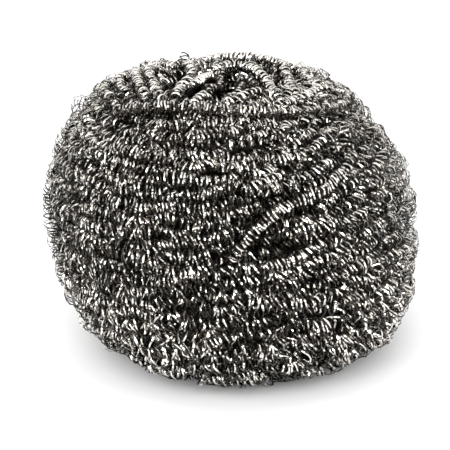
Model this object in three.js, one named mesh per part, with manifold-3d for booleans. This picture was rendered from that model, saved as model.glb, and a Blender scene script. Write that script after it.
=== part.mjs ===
// Stainless steel scourer. One flat wire is coiled like a spring into a soft
// strand, and the strand is wound round and round into a bun. The bun rests on
// a flat spot, leans a little, and its crown sinks into a gathered hollow.
//
// Millimetres, +Z up, origin under the middle of the bun on its base plane.

import * as THREE from 'three';
import Module from 'manifold-3d';
import { mergeVertices } from 'three/addons/utils/BufferGeometryUtils.js';

// Driving dimensions of the bun
const BUN_WIDTH = 91;
const BUN_DEPTH = 86;
const BUN_HEIGHT = 70;
const WAIST_HEIGHT = 33;
const BASE_RADIUS = 23;
const SHOULDER_FULLNESS = 2.75;
const SKIRT_FULLNESS = 2.9;
const LEAN = -7.5;

// The hollow in the crown and the folds gathered into it
const HOLLOW_RADIUS = 17;
const HOLLOW_DEPTH = 8;
const HOLLOW_FLOOR_RADIUS = 3;
const FOLD_COUNT = 12;
const FOLD_DEPTH = 1.6;
const FOLD_REACH = 9;

// The wound strand. Its windings rise towards +X, and wander in a slow wave
// that twists on its way down.
const STRAND_STEP = 3.0;
const GROOVE_DEPTH = 1.1;
const GROOVE_FADE = 4;
const WINDING_RISE = 6.0;
const WINDING_WANDER = 1.2;
const WANDER_WAVE = { waves: 2, twist: 4, phase: 1.3 };

// Broad hollows and lumps of the hand-wound bun, as two waves round it
const LUMP_DEPTH = 0.9;
const LUMP_WAVES = [
  { waves: 2, twist: 5, phase: 0 },
  { waves: 5, twist: -9, phase: 0.7 },
];

// One loop of the wire that stands up out of the crown
const STRAY_LOOP_RADIUS = 1.9;
const STRAY_LOOP_WIRE = 0.5;
const STRAY_LOOP_SINK = 0.6;
const STRAY_LOOP_ANGLE = THREE.MathUtils.degToRad(118);

// Mesh resolution
const ROWS_PER_WINDING = 3;
const COLUMNS_PER_FOLD = 3;
const COLUMNS = FOLD_COUNT * COLUMNS_PER_FOLD;
const HOLLOW_TURNS = 3;
const PROFILE_STEPS = 400;
const LOOP_STEPS = 16;
const LOOP_SIDES = 8;

const HALF_WIDTH = BUN_WIDTH / 2;
const FULL_TURN = 2 * Math.PI;

const steel = new THREE.MeshStandardMaterial({
  name: 'coiled_steel_wire',
  color: 0x8f8a84,
  roughness: 0.3,
  metalness: 1.0,
});

// Height of a superellipse quarter over its middle, as a share of its own height.
function quarterHeight(radius, fullness) {
  const reach = Math.min(radius / HALF_WIDTH, 1);
  return Math.pow(1 - Math.pow(reach, fullness), 1 / fullness);
}

// The bun's outline in its own half plane, from the floor of the hollow over
// the rim, down the side and in across the flat base.
function makeProfile() {
  const shoulderHeight = (BUN_HEIGHT - WAIST_HEIGHT) / quarterHeight(HOLLOW_RADIUS, SHOULDER_FULLNESS);
  const skirtHeight = WAIST_HEIGHT / quarterHeight(BASE_RADIUS, SKIRT_FULLNESS);
  const points = [];

  for (let step = 0; step < PROFILE_STEPS; step += 1) {
    const radius = THREE.MathUtils.lerp(HOLLOW_FLOOR_RADIUS, HOLLOW_RADIUS, step / PROFILE_STEPS);
    const sink = 0.5 * (1 + Math.cos(Math.PI * radius / HOLLOW_RADIUS));
    points.push(new THREE.Vector2(radius, BUN_HEIGHT - HOLLOW_DEPTH * sink));
  }
  const rimIndex = points.length;

  const shoulderStart = Math.asin(Math.pow(HOLLOW_RADIUS / HALF_WIDTH, SHOULDER_FULLNESS / 2));
  for (let step = 0; step < PROFILE_STEPS; step += 1) {
    const angle = THREE.MathUtils.lerp(shoulderStart, Math.PI / 2, step / PROFILE_STEPS);
    const radius = HALF_WIDTH * Math.pow(Math.sin(angle), 2 / SHOULDER_FULLNESS);
    const height = WAIST_HEIGHT + shoulderHeight * Math.pow(Math.cos(angle), 2 / SHOULDER_FULLNESS);
    points.push(new THREE.Vector2(radius, height));
  }

  const skirtEnd = Math.asin(Math.pow(BASE_RADIUS / HALF_WIDTH, SKIRT_FULLNESS / 2));
  for (let step = 0; step < PROFILE_STEPS; step += 1) {
    const angle = THREE.MathUtils.lerp(Math.PI / 2, skirtEnd, step / PROFILE_STEPS);
    const radius = HALF_WIDTH * Math.pow(Math.sin(angle), 2 / SKIRT_FULLNESS);
    const height = WAIST_HEIGHT - skirtHeight * Math.pow(Math.cos(angle), 2 / SKIRT_FULLNESS);
    points.push(new THREE.Vector2(radius, height));
  }
  const baseIndex = points.length;
  points.push(new THREE.Vector2(BASE_RADIUS, 0));
  points.push(new THREE.Vector2(0, 0));

  const lengths = [0];
  for (let index = 1; index < points.length; index += 1) {
    lengths.push(lengths[index - 1] + points[index].distanceTo(points[index - 1]));
  }
  return { points, lengths, rimLength: lengths[rimIndex], baseLength: lengths[baseIndex] };
}

const profile = makeProfile();
const sideLength = profile.baseLength - profile.rimLength;
const sideTurns = Math.round(sideLength / STRAND_STEP);
const totalTurns = HOLLOW_TURNS + sideTurns + 1;

// Point and outward normal of the outline at a length along it.
function profileAt(length) {
  const { points, lengths } = profile;
  let low = 0;
  let high = lengths.length - 1;
  while (high - low > 1) {
    const middle = Math.floor((low + high) / 2);
    if (lengths[middle] <= length) {
      low = middle;
    } else {
      high = middle;
    }
  }
  const share = (length - lengths[low]) / (lengths[high] - lengths[low]);
  const point = points[low].clone().lerp(points[high], share);
  const along = points[high].clone().sub(points[low]).normalize();
  return { point, normal: new THREE.Vector2(-along.y, along.x) };
}

// A wave round the bun whose crests twist on their way from rim to base.
function waveAt(wave, angle, share) {
  return Math.sin(wave.waves * angle + wave.twist * share + wave.phase);
}

// How far down the side a point of the winding is, from 0 at the rim to 1 at
// the base edge.
function sideShare(turn) {
  return THREE.MathUtils.clamp((turn - HOLLOW_TURNS) / sideTurns, 0, 1);
}

// Length along the outline that the winding has reached. Each winding rises
// towards one side and wanders, and both fade out at the rim and at the base.
function windingLength(turn, angle) {
  if (turn < HOLLOW_TURNS) {
    return profile.rimLength * turn / HOLLOW_TURNS;
  }
  if (turn >= HOLLOW_TURNS + sideTurns) {
    return profile.baseLength + STRAND_STEP * (turn - HOLLOW_TURNS - sideTurns);
  }
  const share = sideShare(turn);
  const fade = Math.sin(Math.PI * share);
  const rise = WINDING_RISE * Math.cos(angle);
  const wander = WINDING_WANDER * waveAt(WANDER_WAVE, angle, share);
  return profile.rimLength + sideLength * share - fade * (rise + wander);
}

// Depth below the outline of the grooves between windings, of the folds that
// run into the hollow, and of the bun's broad hollows and lumps.
function reliefDepth(turn, angle, row, column) {
  const share = sideShare(turn);
  const middleFade = Math.sin(Math.PI * share);
  const grooveFade = Math.min(1, GROOVE_FADE * middleFade);
  const groove = row % ROWS_PER_WINDING === 0 ? GROOVE_DEPTH * grooveFade : 0;

  const foldFade = Math.max(0, 1 - sideLength * share / FOLD_REACH);
  const fold = column % COLUMNS_PER_FOLD === 0 ? FOLD_DEPTH * foldFade : 0;

  const waves = LUMP_WAVES.map((wave) => waveAt(wave, angle, share));
  const wavesMean = waves.reduce((sum, wave) => sum + wave, 0) / waves.length;
  const lump = LUMP_DEPTH * middleFade * (1 + wavesMean) / 2;
  return Math.max(groove, fold) + lump;
}

// Place of a point of the outline in space, with the bun's oval plan and lean.
function placeInSpace(radius, height, angle) {
  const lean = LEAN * (height - WAIST_HEIGHT) / BUN_HEIGHT;
  return new THREE.Vector3(
    radius * Math.cos(angle) + lean,
    radius * Math.sin(angle) * BUN_DEPTH / BUN_WIDTH,
    height,
  );
}

// The bun's surface is one ribbon of quads that winds from the hollow to the
// base, so its last column joins its first column one winding further on.
function makeBunGeometry() {
  const rowCount = (totalTurns - 1) * ROWS_PER_WINDING + 1;
  const positions = [];
  for (let row = 0; row < rowCount; row += 1) {
    for (let column = 0; column < COLUMNS; column += 1) {
      const angle = FULL_TURN * column / COLUMNS;
      const turn = row / ROWS_PER_WINDING + column / COLUMNS;
      const { point, normal } = profileAt(windingLength(turn, angle));
      const depth = reliefDepth(turn, angle, row, column);
      const place = placeInSpace(point.x - normal.x * depth, point.y - normal.y * depth, angle);
      positions.push(place.x, place.y, place.z);
    }
  }

  const vertexIndex = (row, column) => {
    if (column < COLUMNS) {
      return row * COLUMNS + column;
    }
    return (row + ROWS_PER_WINDING) * COLUMNS + column - COLUMNS;
  };

  const indices = [];
  const lastFullRow = rowCount - 1 - ROWS_PER_WINDING;
  for (let row = 0; row < rowCount - 1; row += 1) {
    const columns = row < lastFullRow ? COLUMNS : COLUMNS - 1;
    for (let column = 0; column < columns; column += 1) {
      const upperLeft = vertexIndex(row, column);
      const upperRight = vertexIndex(row, column + 1);
      const lowerLeft = vertexIndex(row + 1, column);
      const lowerRight = vertexIndex(row + 1, column + 1);
      indices.push(upperLeft, lowerLeft, lowerRight);
      indices.push(upperLeft, lowerRight, upperRight);
    }
  }

  const topEdge = [];
  for (let column = 0; column < COLUMNS; column += 1) {
    topEdge.push(vertexIndex(0, column));
  }
  for (let row = ROWS_PER_WINDING; row > 0; row -= 1) {
    topEdge.push(vertexIndex(row, 0));
  }

  const bottomEdge = [];
  for (let column = 0; column < COLUMNS; column += 1) {
    bottomEdge.push(vertexIndex(rowCount - 1, column));
  }
  for (let row = rowCount - 1 - ROWS_PER_WINDING; row < rowCount - 1; row += 1) {
    bottomEdge.unshift(vertexIndex(row, COLUMNS - 1));
  }

  const floorOfHollow = placeInSpace(0, BUN_HEIGHT - HOLLOW_DEPTH, 0);
  const middleOfBase = placeInSpace(0, 0, 0);
  const floorIndex = positions.length / 3;
  positions.push(floorOfHollow.x, floorOfHollow.y, floorOfHollow.z);
  positions.push(middleOfBase.x, middleOfBase.y, middleOfBase.z);
  closeEdge(indices, topEdge, floorIndex);
  closeEdge(indices, bottomEdge.reverse(), floorIndex + 1);

  const geometry = new THREE.BufferGeometry();
  geometry.setAttribute('position', new THREE.Float32BufferAttribute(positions, 3));
  geometry.setIndex(indices);
  return geometry;
}

// A fan of triangles from one middle point to a closed edge.
function closeEdge(indices, edge, middle) {
  for (let index = 0; index < edge.length; index += 1) {
    indices.push(middle, edge[index], edge[(index + 1) % edge.length]);
  }
}

// The stray loop: a hoop of wire, standing across the rim with its foot sunk
// into the windings.
function makeStrayLoopGeometry() {
  const foot = placeInSpace(HOLLOW_RADIUS, BUN_HEIGHT - FOLD_DEPTH, STRAY_LOOP_ANGLE);
  const across = new THREE.Vector3(1, 0, 0);
  const up = new THREE.Vector3(0, 0, 1);
  const rise = STRAY_LOOP_RADIUS - STRAY_LOOP_SINK;
  const centre = foot.clone().addScaledVector(up, rise);
  const loop = new THREE.TorusGeometry(STRAY_LOOP_RADIUS, STRAY_LOOP_WIRE / 2, LOOP_SIDES, LOOP_STEPS);
  const turn = new THREE.Matrix4().makeBasis(across, up, new THREE.Vector3(0, -1, 0));
  loop.applyMatrix4(turn);
  loop.translate(centre.x, centre.y, centre.z);
  return loop;
}

const wasm = await Module();
wasm.setup();

function toSolid(geometry) {
  const bare = geometry.clone();
  bare.deleteAttribute('normal');
  bare.deleteAttribute('uv');
  const merged = mergeVertices(bare);
  return new wasm.Manifold(new wasm.Mesh({
    numProp: 3,
    vertProperties: new Float32Array(merged.attributes.position.array),
    triVerts: new Uint32Array(merged.index.array),
  }));
}

function toGeometry(solid) {
  const mesh = solid.getMesh();
  const geometry = new THREE.BufferGeometry();
  geometry.setAttribute('position', new THREE.BufferAttribute(mesh.vertProperties, 3));
  geometry.setIndex(new THREE.BufferAttribute(mesh.triVerts, 1));
  geometry.computeVertexNormals();
  return geometry;
}

const scourerGeometry = toGeometry(toSolid(makeBunGeometry()).add(toSolid(makeStrayLoopGeometry())));
scourerGeometry.computeBoundingBox();
const box = scourerGeometry.boundingBox;
scourerGeometry.translate(
  -(box.min.x + box.max.x) / 2,
  -(box.min.y + box.max.y) / 2,
  -box.min.z,
);

const scourer = new THREE.Mesh(scourerGeometry, steel);
scourer.name = 'wound_strand';

const assembly = new THREE.Group();
assembly.add(scourer);

export default assembly;
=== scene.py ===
"""Steel scourer: one flat wire coiled into a strand, and the strand wound into a bun on a pale table.

The bun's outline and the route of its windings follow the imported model. Geometry Nodes turn each route
into a coil of flat wire.
"""

import math

import bpy
import numpy as np
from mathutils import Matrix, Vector


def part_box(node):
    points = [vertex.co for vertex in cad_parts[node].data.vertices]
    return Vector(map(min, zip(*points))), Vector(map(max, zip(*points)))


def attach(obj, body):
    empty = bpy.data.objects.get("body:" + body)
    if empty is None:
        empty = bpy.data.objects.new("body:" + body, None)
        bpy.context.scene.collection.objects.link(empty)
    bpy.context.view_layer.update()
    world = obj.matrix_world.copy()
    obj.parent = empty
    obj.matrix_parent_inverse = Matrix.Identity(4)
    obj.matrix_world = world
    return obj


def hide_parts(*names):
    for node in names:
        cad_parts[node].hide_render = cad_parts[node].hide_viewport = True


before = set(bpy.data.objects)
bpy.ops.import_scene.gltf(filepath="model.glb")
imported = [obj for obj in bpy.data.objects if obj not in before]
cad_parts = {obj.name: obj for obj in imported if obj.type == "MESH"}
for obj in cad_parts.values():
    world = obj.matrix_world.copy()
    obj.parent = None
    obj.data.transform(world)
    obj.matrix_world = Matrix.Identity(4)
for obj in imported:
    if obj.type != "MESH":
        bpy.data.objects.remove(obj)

bl_info = {
    "name": "Steel Scourer",
    "version": (1, 0, 0),
    "blender": (4, 5, 0),
    "location": "3D View > Sidebar > Scourer",
    "description": "Winds a coil of flat steel wire into a scouring bun and sets it on a pale table",
    "category": "Add Mesh",
}

NODE = "wound_strand"
BODY = "root"
MM = 0.001
FULL_TURN = 2 * math.pi

# The bun's outline, in metres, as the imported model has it.
BUN_WIDTH = 91 * MM
BUN_DEPTH = 86 * MM
BUN_HEIGHT = 70 * MM
WAIST_HEIGHT = 33 * MM
BASE_RADIUS = 23 * MM
SHOULDER_FULLNESS = 2.75
SKIRT_FULLNESS = 2.9
LEAN = -7.5 * MM
HOLLOW_RADIUS = 17 * MM
HOLLOW_DEPTH = 8 * MM
HOLLOW_FLOOR_RADIUS = 3 * MM
HALF_WIDTH = BUN_WIDTH / 2

# The windings on it.
STRAND_STEP = 3.0 * MM
HOLLOW_TURNS = 3
WINDING_RISE = 6.0 * MM
WINDING_WANDER = 1.2 * MM
WANDER_WAVE = (2, 4, 1.3)
LUMP_DEPTH = 0.9 * MM
LUMP_WAVES = ((2, 5, 0), (5, -9, 0.7))

# The stray loop.
STRAY_LOOP_RADIUS = 1.2 * MM
STRAY_LOOP_ANGLE = math.radians(118)

# How finely the wire is drawn.
ROUTE_STEP = 2.0 * MM
OUTLINE_STEPS = 400
WIRE_SIDES = 3


def length_setting(name, description, default, least):
    return bpy.props.FloatProperty(
        name=name, description=description, default=default, min=least,
        unit="LENGTH", subtype="DISTANCE", precision=5)


def colour_setting(name, description, default):
    return bpy.props.FloatVectorProperty(
        name=name, description=description, default=default, size=3, subtype="COLOR", min=0, max=1)


class ScourerWire(bpy.types.PropertyGroup):
    """Sizes and finish of the wire and its coil, and the colour painted on it as shade."""

    wire_width: length_setting("Wire width", "Width of the flat wire", 0.36 * MM, 0.1 * MM)
    wire_thickness: length_setting(
        "Wire thickness", "Thickness of the flat wire at its middle", 0.09 * MM, 0.02 * MM)
    coil_radius: length_setting(
        "Coil radius", "Radius of the coil that makes the strand", 1.65 * MM, 0.5 * MM)
    coil_pitch: length_setting(
        "Coil pitch", "Distance from one loop of the coil to the next", 1.05 * MM, 0.3 * MM)
    stretched_pitch: length_setting(
        "Stretched pitch", "Distance between loops where the strand is pulled out", 1.2 * MM, 0.3 * MM)
    steps_per_loop: bpy.props.IntProperty(
        name="Steps per loop", description="Straight steps that make one loop of wire",
        default=11, min=6)
    steel: colour_setting("Steel", "Colour of the bright wire", (0.90, 0.865, 0.81))
    tarnish: colour_setting("Tarnish", "Colour of the wire where it has dulled", (0.62, 0.585, 0.54))
    # Painted shade: the dark colour painted on loop sides that face into the bun, on undersides and deep
    # strands.
    painted_shade_colour: colour_setting(
        "Shaded", "Colour of the wire on the side of the coil that lies in the bun", (0.042, 0.038, 0.032))


class ScourerStage(bpy.types.PropertyGroup):
    """The table and the camera."""

    table: colour_setting("Table", "Colour of the table top", (0.97, 0.97, 0.97))
    camera_elevation: bpy.props.FloatProperty(
        name="Camera elevation", description="Height of the camera over the horizon",
        default=math.radians(22), unit="ROTATION", subtype="ANGLE")
    camera_distance: bpy.props.FloatProperty(
        name="Camera distance", description="From the camera to the middle of the bun",
        default=450 * MM, unit="LENGTH", subtype="DISTANCE")
    picture_scale: bpy.props.FloatProperty(
        name="Picture scale", description="Pixels that one millimetre covers at the middle of the bun",
        default=4.12)


# Node trees read as Python through the two classes below.


class Signal:
    """An output of a node. Sums and products of signals add Math nodes."""

    def __init__(self, nodes, node, output=0):
        self.nodes = nodes
        self.node = node
        self.socket = node.outputs[output] if node.outputs else None

    def out(self, output):
        return Signal(self.nodes, self.node, output)

    def math(self, operation, *values):
        return self.nodes.add("ShaderNodeMath", {"operation": operation}, dict(enumerate(values)))

    def __add__(self, other):
        return self.math("ADD", self, other)

    def __sub__(self, other):
        return self.math("SUBTRACT", self, other)

    def __rsub__(self, other):
        return self.math("SUBTRACT", other, self)

    def __mul__(self, other):
        return self.math("MULTIPLY", self, other)

    def __truediv__(self, other):
        return self.math("DIVIDE", self, other)

    def __rtruediv__(self, other):
        return self.math("DIVIDE", other, self)

    __radd__ = __add__
    __rmul__ = __mul__

    def vector(self, operation, *values, output=0):
        inputs = dict(enumerate((self, *values)))
        return self.nodes.add("ShaderNodeVectorMath", {"operation": operation}, inputs, output)

    def scaled(self, factor):
        return self.nodes.add("ShaderNodeVectorMath", {"operation": "SCALE"}, {0: self, "Scale": factor})


class Nodes:
    """Adds nodes to one tree: settings first, then the values or links of the sockets."""

    def __init__(self, tree):
        self.tree = tree

    def add(self, kind, settings=None, values=None, output=0):
        node = self.tree.nodes.new(kind)
        for name, setting in (settings or {}).items():
            setattr(node, name, setting)
        for name, value in (values or {}).items():
            if isinstance(value, Signal):
                self.tree.links.new(value.socket, node.inputs[name])
            else:
                node.inputs[name].default_value = value
        return Signal(self, node, output)

    def share(self, value, low, high, curve="LINEAR"):
        """0 up to a low value, 1 from a high one."""
        return self.add("ShaderNodeMapRange", {"interpolation_type": curve}, {
            "Value": value, "From Min": low, "From Max": high, "To Min": 0.0, "To Max": 1.0})

    def mix(self, factor, first, second):
        return self.add("ShaderNodeMix", {"data_type": "RGBA"}, {"Factor": factor, 6: first, 7: second}, 2)

    def noise(self, place, scale, detail):
        inputs = {"Vector": place, "Scale": scale, "Detail": detail}
        return self.add("ShaderNodeTexNoise", None, inputs)

    def ramp(self, value, stops):
        """A ramp of greys, with its stops as (place, grey) pairs."""
        made = self.add("ShaderNodeValToRGB", None, {"Fac": value})
        elements = made.node.color_ramp.elements
        elements.remove(elements[-1])
        for number, (place, grey) in enumerate(stops):
            element = elements.new(place) if number else elements[0]
            element.position = place
            element.color = (grey, grey, grey, 1)
        return made


def fresh_nodes(block):
    """Empties the node tree of a material or a world for new nodes."""
    block.use_nodes = True
    block.node_tree.nodes.clear()
    return Nodes(block.node_tree)


# The outline of the bun and the windings on it.


def quarter_height(radius, fullness):
    """Height of a superellipse quarter over its middle, as a share of its own height."""
    return (1 - (radius / HALF_WIDTH) ** fullness) ** (1 / fullness)


class Outline:
    """The bun's outline in its own half plane, from the hollow over the rim and the side to the base."""

    def __init__(self):
        shoulder_height = (BUN_HEIGHT - WAIST_HEIGHT) / quarter_height(HOLLOW_RADIUS, SHOULDER_FULLNESS)
        skirt_height = WAIST_HEIGHT / quarter_height(BASE_RADIUS, SKIRT_FULLNESS)
        hollow = np.linspace(HOLLOW_FLOOR_RADIUS, HOLLOW_RADIUS, OUTLINE_STEPS, endpoint=False)
        sink = 0.5 * (1 + np.cos(math.pi * hollow / HOLLOW_RADIUS))
        shoulder_start = math.asin((HOLLOW_RADIUS / HALF_WIDTH) ** (SHOULDER_FULLNESS / 2))
        shoulder = np.linspace(shoulder_start, math.pi / 2, OUTLINE_STEPS, endpoint=False)
        skirt_end = math.asin((BASE_RADIUS / HALF_WIDTH) ** (SKIRT_FULLNESS / 2))
        skirt = np.linspace(math.pi / 2, skirt_end, OUTLINE_STEPS)
        self.radius = np.concatenate([
            hollow,
            HALF_WIDTH * np.sin(shoulder) ** (2 / SHOULDER_FULLNESS),
            HALF_WIDTH * np.sin(skirt) ** (2 / SKIRT_FULLNESS),
            [0],
        ])
        self.height = np.concatenate([
            BUN_HEIGHT - HOLLOW_DEPTH * sink,
            WAIST_HEIGHT + shoulder_height * np.cos(shoulder) ** (2 / SHOULDER_FULLNESS),
            WAIST_HEIGHT - skirt_height * np.abs(np.cos(skirt)) ** (2 / SKIRT_FULLNESS),
            [0],
        ])
        steps = np.hypot(np.diff(self.radius), np.diff(self.height))
        self.length = np.concatenate([[0], np.cumsum(steps)])
        self.rim = self.length[OUTLINE_STEPS]
        self.base = self.length[-2]
        self.side = self.base - self.rim
        self.side_turns = round(self.side / STRAND_STEP)

    def at(self, length):
        """Radius and height at a length along the outline, and the outward normal there."""
        radius = np.interp(length, self.length, self.radius)
        height = np.interp(length, self.length, self.height)
        reach = 1.5 * MM
        ahead, behind = length + reach, length - reach
        along_r = np.interp(ahead, self.length, self.radius) - np.interp(behind, self.length, self.radius)
        along_z = np.interp(ahead, self.length, self.height) - np.interp(behind, self.length, self.height)
        size = np.hypot(along_r, along_z) + 1e-12
        return radius, height, -along_z / size, along_r / size


outline = Outline()


def wave_at(wave, angle, share):
    """A wave round the bun whose crests twist on their way from rim to base."""
    count, twist, phase = wave
    return np.sin(count * angle + twist * share + phase)


def winding_length(turn, angle, rise=WINDING_RISE):
    """Length along the outline that a winding has reached."""
    share = np.clip((turn - HOLLOW_TURNS) / outline.side_turns, 0, 1)
    fade = np.sin(math.pi * share)
    side = outline.rim + outline.side * share
    side = side - fade * (rise * np.cos(angle) + WINDING_WANDER * wave_at(WANDER_WAVE, angle, share))
    hollow = outline.rim * turn / HOLLOW_TURNS
    base = outline.base + STRAND_STEP * (turn - HOLLOW_TURNS - outline.side_turns)
    last = HOLLOW_TURNS + outline.side_turns
    return np.where(turn < HOLLOW_TURNS, hollow, np.where(turn > last, base, side))


def lean_at(height):
    return LEAN * (height - WAIST_HEIGHT) / BUN_HEIGHT


def bun_points(length, angle, depth):
    """Points at a depth under the outline, and the outward normals there."""
    radius, height, normal_r, normal_z = outline.at(length)
    share = np.clip((length - outline.rim) / outline.side, 0, 1)
    broad = np.mean([wave_at(wave, angle, share) for wave in LUMP_WAVES], axis=0)
    under = depth + LUMP_DEPTH * np.sin(math.pi * share) * (1 + broad) / 2
    inner_radius = radius - normal_r * under
    inner_height = height - normal_z * under
    squeeze = BUN_DEPTH / BUN_WIDTH
    places = np.stack([
        inner_radius * np.cos(angle) + lean_at(inner_height) + CENTRE_SHIFT,
        inner_radius * np.sin(angle) * squeeze,
        inner_height,
    ], axis=-1)
    outward = np.stack([
        normal_r * np.cos(angle),
        normal_r * np.sin(angle) / squeeze,
        normal_z,
    ], axis=-1)
    return places, outward / np.linalg.norm(outward, axis=-1, keepdims=True)


def centre_shift():
    """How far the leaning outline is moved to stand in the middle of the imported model's box."""
    lean = lean_at(outline.height)
    low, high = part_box(NODE)
    return (low.x + high.x) / 2 - ((outline.radius + lean).max() + (lean - outline.radius).min()) / 2


CENTRE_SHIFT = centre_shift()


DRIFT_WAVES = 8
DRIFT_SIZE = 0.9


def drift(seed, shortest, longest, along):
    """A smooth random wave along a line, about -1 to 1."""
    random = np.random.default_rng(seed)
    forward = np.sign(random.normal(size=DRIFT_WAVES))
    lengths = np.geomspace(shortest, longest, DRIFT_WAVES)
    phases = random.uniform(0, FULL_TURN, DRIFT_WAVES)
    heights = np.sin(along[:, None] * (forward * FULL_TURN / lengths) + phases)
    return heights.sum(axis=1) / math.sqrt(DRIFT_WAVES) * DRIFT_SIZE


def rising(value, start, over):
    """0 up to the start, then up to 1 over a stretch."""
    return np.clip((value - start) / over, 0, 1)


def falling(value, end, over):
    """1 down to 0 over the stretch before the end."""
    return np.clip((end - value) / over, 0, 1)


def bump(value, middle, half_width):
    """1 in the middle, and smoothly less to both sides."""
    return np.exp(-((value - middle) / half_width) ** 2)


def strand(places, outward, pitch, slack, start_turns, gloom, unrest, sag=0.0, roll=0.0):
    """A route for a coil: its points, the side that faces out, loops so far and what varies along it.

    Slack is the coil's size as a share of the usual, the painted shade value how much it is painted darker
    as if it lay in the dark, unrest how far its loops lean, the underside value how much darker the lower
    half of each loop is painted, as shade, and roll how far the wire is turned.
    """
    steps = np.linalg.norm(np.diff(places, axis=0), axis=1)
    pitch = np.broadcast_to(pitch, len(places))
    mean_pitch = (pitch[1:] + pitch[:-1]) / 2
    turns = start_turns + np.concatenate([[0], np.cumsum(steps / mean_pitch)])
    route = {"places": places, "outward": outward, "turns": turns}
    varying = {"slack": slack, "gloom": gloom, "unrest": unrest, "sag": sag, "roll": roll}
    for key, value in varying.items():
        route[key] = np.broadcast_to(value, len(places))
    return route


def spot_share(spot, angle, length):
    """How strongly a spot acts at a place, from 0 to 1, and the mm from its middle down to the place."""
    middle_angle, middle_length, half_angle, half_length = spot[:4]
    turned = turned_from(angle, middle_angle)
    below = length / MM - middle_length
    return np.exp(-(turned / half_angle) ** 2 - (below / half_length) ** 2), below


def turned_from(angle, middle):
    """Degrees from a middle angle to other angles, the short way round."""
    return (np.degrees(angle) - middle + 180) % 360 - 180


# Millimetres that a degree counts for on the side, for the way of a crossing strand and for its pressure.
DRAWN_MM_PER_DEGREE = 0.7
PRESSED_MM_PER_DEGREE = 0.75
# How far aside a crossing strand presses on the windings, how deep it lies where it no longer does, in mm,
# and how hard the crest presses.
PRESS_REACH = 2.6
PRESS_DEPTH = 3
CREST_PRESS = 0.6


def side_path(points, step):
    """A smooth path over the side, through places of angle, length in mm and sink in mm."""
    scaled = [(angle * DRAWN_MM_PER_DEGREE, length, sink) for angle, length, sink in points]
    path, along = smooth_path(scaled, step)
    path[:, 0] /= DRAWN_MM_PER_DEGREE
    return path, along


def crossed(angle, length):
    """How closely a strand that lies across the windings passes over a place, from 0 to 1."""
    over = np.zeros(len(length))
    for strands, most in ((CREST_STRANDS, CREST_PRESS), (CROSSING_STRANDS, 1.0)):
        for points in strands:
            for middle, height, sink in side_path(points, 1.0)[0]:
                aside = turned_from(angle, middle) * PRESSED_MM_PER_DEGREE
                reach = np.hypot(aside, length / MM - height)
                press = most * bump(reach, 0, PRESS_REACH) * np.clip(1 - sink / PRESS_DEPTH, 0, 1)
                over = np.maximum(over, press)
    return over


# Shortest and longest waves of what varies along the windings: way, depth, spacing and size of the loops.
SIDEWAYS_WAVES = (9 * MM, 60 * MM)
DEPTH_WAVES = (14 * MM, 120 * MM)
SPACING_WAVES = (5 * MM, 30 * MM)
SIZE_WAVES = (8 * MM, 50 * MM)
SPACING_SWING = 0.16
SIZE_SWING = 0.08
# Depth of the windings as shares of how uneven they are: mean, swing and most.
DEPTH_MEAN = 0.4
DEPTH_SWING = 0.5
DEPTH_MOST = 1.2
MEAN_WAY_ROUND = BUN_WIDTH * 2.6
# How much less the windings wander along the crest.
CREST_STILLNESS = 0.8
# The windings climb towards the front right: middle angle, half width and height of the climb.
CLIMB_ANGLE = -22
CLIMB_HALF_ANGLE = 38
CLIMB = 4.5 * MM
# How far windings go down under a strand that crosses them, and how sharp the edge of a parting is in mm.
CROSSED_SINK = 2.5 * MM
PARTING_EDGE = 1.2
# The depth at which a winding starts to be painted darker, as shade, and over how much more it gets dark.
PAINTED_SHADE_START = 0.5 * MM
PAINTED_SHADE_OVER = 2.6 * MM
# Painted shade of the whole side (a value below 0 paints it lighter), of what faces down and of what lies
# to the right. The last sets in under the rim.
SIDE_PAINTED_SHADE = -0.115
DOWNWARD_PAINTED_SHADE = 0.21
RIGHTWARD_PAINTED_SHADE = 0.07
RIGHTWARD_TURN = math.radians(20)
RIGHTWARD_FADE = 2.2
# Bands of painted shade round the side: middle and half width as shares of the way down, and strength.
PAINTED_SHADE_BANDS = ((0.42, 0.16, 0.1), (0.14, 0.1, -0.05))
# Where the strand is pulled out, as shares of the way from rim to base, and how restless its loops are.
LOOSE_START = 0.5
LOOSE_OVER = 0.25
LOOSE_END = 1.02
LOOSE_FADE = 0.05
WINDING_UNREST = 0.6
LOOSE_UNREST = 1.0


def side_painted_shade(angle, share, outward):
    """How much shade is painted on the side, over that painted for the depth of its windings."""
    gloom = SIDE_PAINTED_SHADE + DOWNWARD_PAINTED_SHADE * (-outward[:, 2]).clip(0, 1)
    for middle, half_width, strength in PAINTED_SHADE_BANDS:
        gloom = gloom + strength * bump(share, middle, half_width)
    return gloom + RIGHTWARD_PAINTED_SHADE * np.cos(angle + RIGHTWARD_TURN) * np.clip(RIGHTWARD_FADE * share, 0, 1)


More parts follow.
